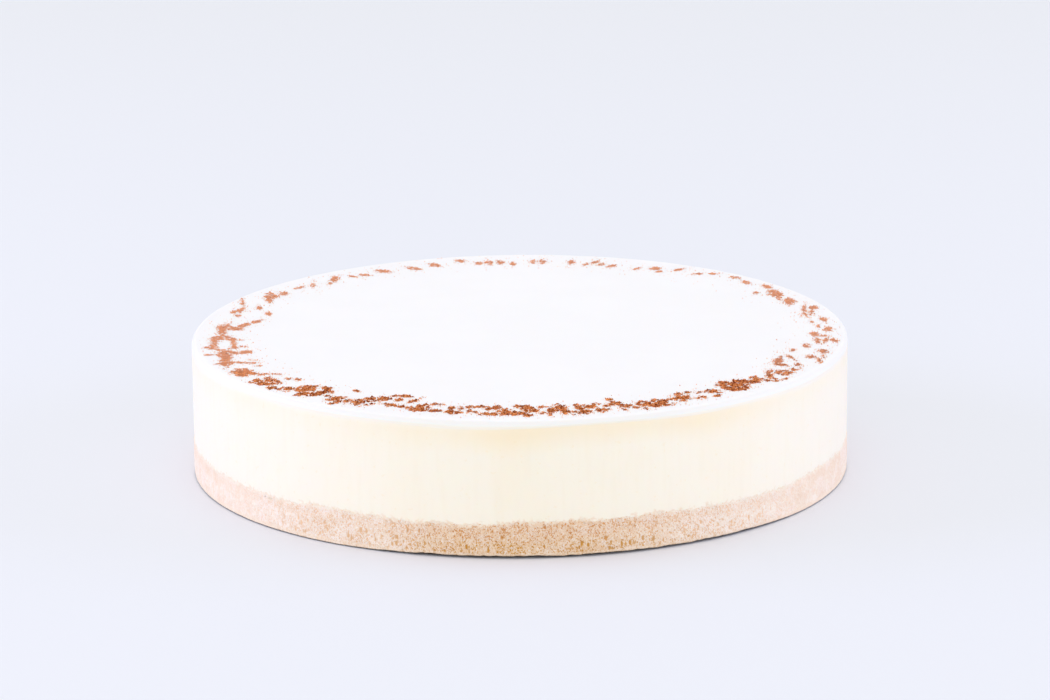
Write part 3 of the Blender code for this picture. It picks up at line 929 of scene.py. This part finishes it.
# Crumbs are drawn lighter away from the front.
lift_tone = 0.5 * lighter_off_front(spots)
tones = rng.uniform(size=len(spots)) * (1 - lift_tone) + lift_tone
crumbs = stones("spice_crumbs", spots, sizes * (1.35 - 0.55 * tones), tones, BALL, BALL_SIDES)

# %% [markdown]
# Loose grains are finer. They lie thickest along the dabs' edges and thin out within a few
# millimetres, and eight triangles are enough for each. The palest are the single ones.

# %% Loose grains
STONE = np.array([(1, 0, 0), (0, 1, 0), (-1, 0, 0), (0, -1, 0), (0, 0, 1), (0, 0, -1)], float)
STONE_SIDES = np.array([
    (0, 1, 4), (1, 2, 4), (2, 3, 4), (3, 0, 4), (1, 0, 5), (2, 1, 5), (3, 2, 5), (0, 3, 5),
])
NEAR_REACH, FAR_REACH = 0.45, 3                  # millimetres over which the grains thin out
ON_DABS, BESIDE, STRAY = 0.15, 0.42, 0.03        # how often a place gets a grain
GRAIN_SIZES = (0.14, 0.6)    # millimetres, and most are near 0.27
outside = np.minimum(try_depth, 0)
chance = np.where(try_depth > 0, ON_DABS, BESIDE * np.exp(outside / NEAR_REACH))
chance = np.maximum(chance, STRAY * np.exp(outside / FAR_REACH))
spots, depths, lifts, sizes = chosen(chance, 0.27, 0.35, GRAIN_SIZES)
spots[:, 2] += np.where(depths > 0, lifts, 0) + 0.22 * sizes
tones = rng.uniform(size=len(spots))
tones = np.where(depths > 0, tones, 0.45 + 0.55 * tones)
loose = stones("spice_grains", spots, sizes, tones, STONE, STONE_SIDES)

# %% [markdown]
# Ground spice is a dry red-brown. Where it lies thin the cream shines through and it looks orange-pink;
# deep in a clump it is dark. Away from the front the powder is drawn lighter and mixed with a pinkish
# cream colour.

# %% Spice finish
def spice_finish(name, from_skin):
    material, tree, shader = new_finish(name, 0.9, 0.1)
    if from_skin:
        cell = node(tree, "ShaderNodeTexVoronoi", {"Vector": place(tree), "Scale": 1900})
        own = node(tree, "ShaderNodeSeparateColor", {"Color": cell.outputs["Color"]}).outputs["Red"]
        light = both(tree, "ADD", stored(tree, "shade"), own)
        # Painted shade: the creases at the cells' edges are painted a darker red-brown.
        crease_shade = stepped(tree, cell.outputs["Distance"], 0.35, 0.6, 0, 0.75)
        tone = mixed(tree, stepped(tree, light, 0.25, 1.45), (108, 30, 6), (255, 178, 112))
        tone = mixed(tree, crease_shade, tone, (182, 72, 28))
        thin = stepped(tree, stored(tree, "deep"), 0.45, 0.0, 0, 0.6)
        tone = mixed(tree, thin, tone, (252, 184, 138))
        dome = stepped(tree, cell.outputs["Distance"], 0.6, 0.0)
        bumped(tree, shader, dome, 0.2 * MM, 0.8)
    else:
        pale = stepped(tree, stored(tree, "grain"), 0.1, 0.86)
        tone = mixed(tree, pale, (88, 22, 4), (255, 176, 110))
        freckle = stepped(tree, speckle(tree, 4200), 0.35, 0.65, 0, 0.4)
        tone = mixed(tree, freckle, tone, (244, 136, 72))
        bumped(tree, shader, speckle(tree, 4200, 3.0), 0.08 * MM, 0.8)
    # Away from the front the powder is mixed with a pale pinkish colour.
    paler_off_front = stepped(tree, place_along(tree, "Y"), -80 * MM, -30 * MM, 0, 0.42)
    tone = mixed(tree, paler_off_front, tone, (230, 184, 164))
    tree.links.new(tone, shader.inputs["Base Color"])
    return material


dress(spice, spice_finish("Ground spice", True))
dress(crumbs, spice_finish("Spice crumbs", False))
dress(loose, spice_finish("Spice grains", False))

# %% [markdown]
# ## Camera
# A long lens from a metre and a half away, a little above the cake's top, shows both the ring
# of spice and the whole side, without a wide lens's stretch. The matrix is written as a place, a
# downward tilt and a very small roll.

# %% Camera
LENS = 137.1                 # millimetres, on a sensor 36 mm wide
CAMERA_AT = (0.0020, -1.4793, 0.4303)
CAMERA_DOWN = 14.64          # degrees below level
CAMERA_ROLL = -0.496

camera = in_scene("camera", bpy.data.cameras.new("camera"))
camera.data.lens = LENS
camera.data.sensor_width = 36
camera.data.clip_start = 0.05
camera.data.clip_end = 60
camera.matrix_world = (
    Matrix.Translation(CAMERA_AT)
    @ Matrix.Rotation(math.radians(90 - CAMERA_DOWN), 4, "X")
    @ Matrix.Rotation(math.radians(CAMERA_ROLL), 4, "Z")
)
bpy.context.scene.camera = camera
print(f"camera {Vector(CAMERA_AT).length:.2f} m away")

# %% [markdown]
# ## Light
# Soft daylight from all sides keeps a white cake bright. A wide box on the left, a slightly
# weaker one on the right and a faint one in front lift the side, so it isn't darker than the
# top. The boxes' tints are measured against the ivory side: a cooler light from the sides
# keeps the white from turning yellow there. The standard view keeps the colours as picked.

# %% Light
SKY = (1.0, 0.991, 0.96, 1)
SKY_STRENGTH = 0.936
AIMED_AT = Vector((0, 0, 0.03))

world = bpy.data.worlds.new("studio")
world.use_nodes = True
sky = world.node_tree.nodes["Background"].inputs
sky["Color"].default_value = SKY
sky["Strength"].default_value = SKY_STRENGTH
bpy.context.scene.world = world
bpy.context.scene.view_settings.view_transform = "Standard"


def softbox(name, place_at, size, power, tint):
    """A square area lamp aimed at the cake."""
    lamp = bpy.data.lights.new(name, "AREA")
    lamp.size = size
    lamp.energy = power
    lamp.color = tint
    holder = in_scene(name, lamp)
    holder.location = place_at
    holder.rotation_euler = (AIMED_AT - Vector(place_at)).to_track_quat("-Z", "Y").to_euler()
    print(f"{name}: {power} W, {size} m wide")


softbox("window_left", (-1.7, 0.0, 0.38), 1.3, 14.5, (0.54, 0.557, 0.99))
softbox("window_right", (1.7, 0.0, 0.38), 1.3, 11.0, (0.50, 0.53, 1.0))
softbox("front_fill", (0.0, -1.9, 0.28), 1.5, 5.0, (0.92, 0.91, 1.0))

# %% [markdown]
# ## Floor
# A plain pale sheet catches the soft shadow. It lies a hair below the cake, so the two
# surfaces don't flicker through each other.

# %% Floor
FLOOR_EDGE = 9               # metres from the middle
FLOOR_DROP = 0.2 * MM

floor_mesh = bpy.data.meshes.new("floor")
floor_corners = [(x * FLOOR_EDGE, y * FLOOR_EDGE, 0) for x, y in ((-1, -1), (1, -1), (1, 1), (-1, 1))]
floor_mesh.from_pydata(floor_corners, [], [(0, 1, 2, 3)])
floor = in_scene("floor", floor_mesh)
floor_finish, _, floor_shader = new_finish("Floor", 0.8)
floor_shader.inputs["Base Color"].default_value = colour(234, 237, 243)
floor.data.materials.append(floor_finish)
floor.location.z = -FLOOR_DROP
print("floor at", round(floor.location.z / MM, 2), "mm")

# %% [markdown]
# ## Hand the pieces to the frame
# Each layer's skin takes the place of its solid from the construction model. The spice has no
# solid of its own: it is too thin to build, so its three pieces only ride along with the cake.
# Beside each piece the name of what it is made of is printed.

# %% Hand the pieces to the frame
for piece, nodes, slot in (
    (base, ["biscuit_base"], "biscuit_crumb"),
    (filling, ["cheese_filling"], "baked_cheese"),
    (topping, ["sour_cream_topping"], "sour_cream"),
    (spice, [], "dusted_spice"),
    (crumbs, [], "dusted_spice"),
    (loose, [], "dusted_spice"),
):
    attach(piece, "root")
    if nodes:
        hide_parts(*nodes)
    triangles = sum(len(side.vertices) - 2 for side in piece.data.polygons)
    print(f"{piece.name}: {triangles} triangles, slot {slot}")
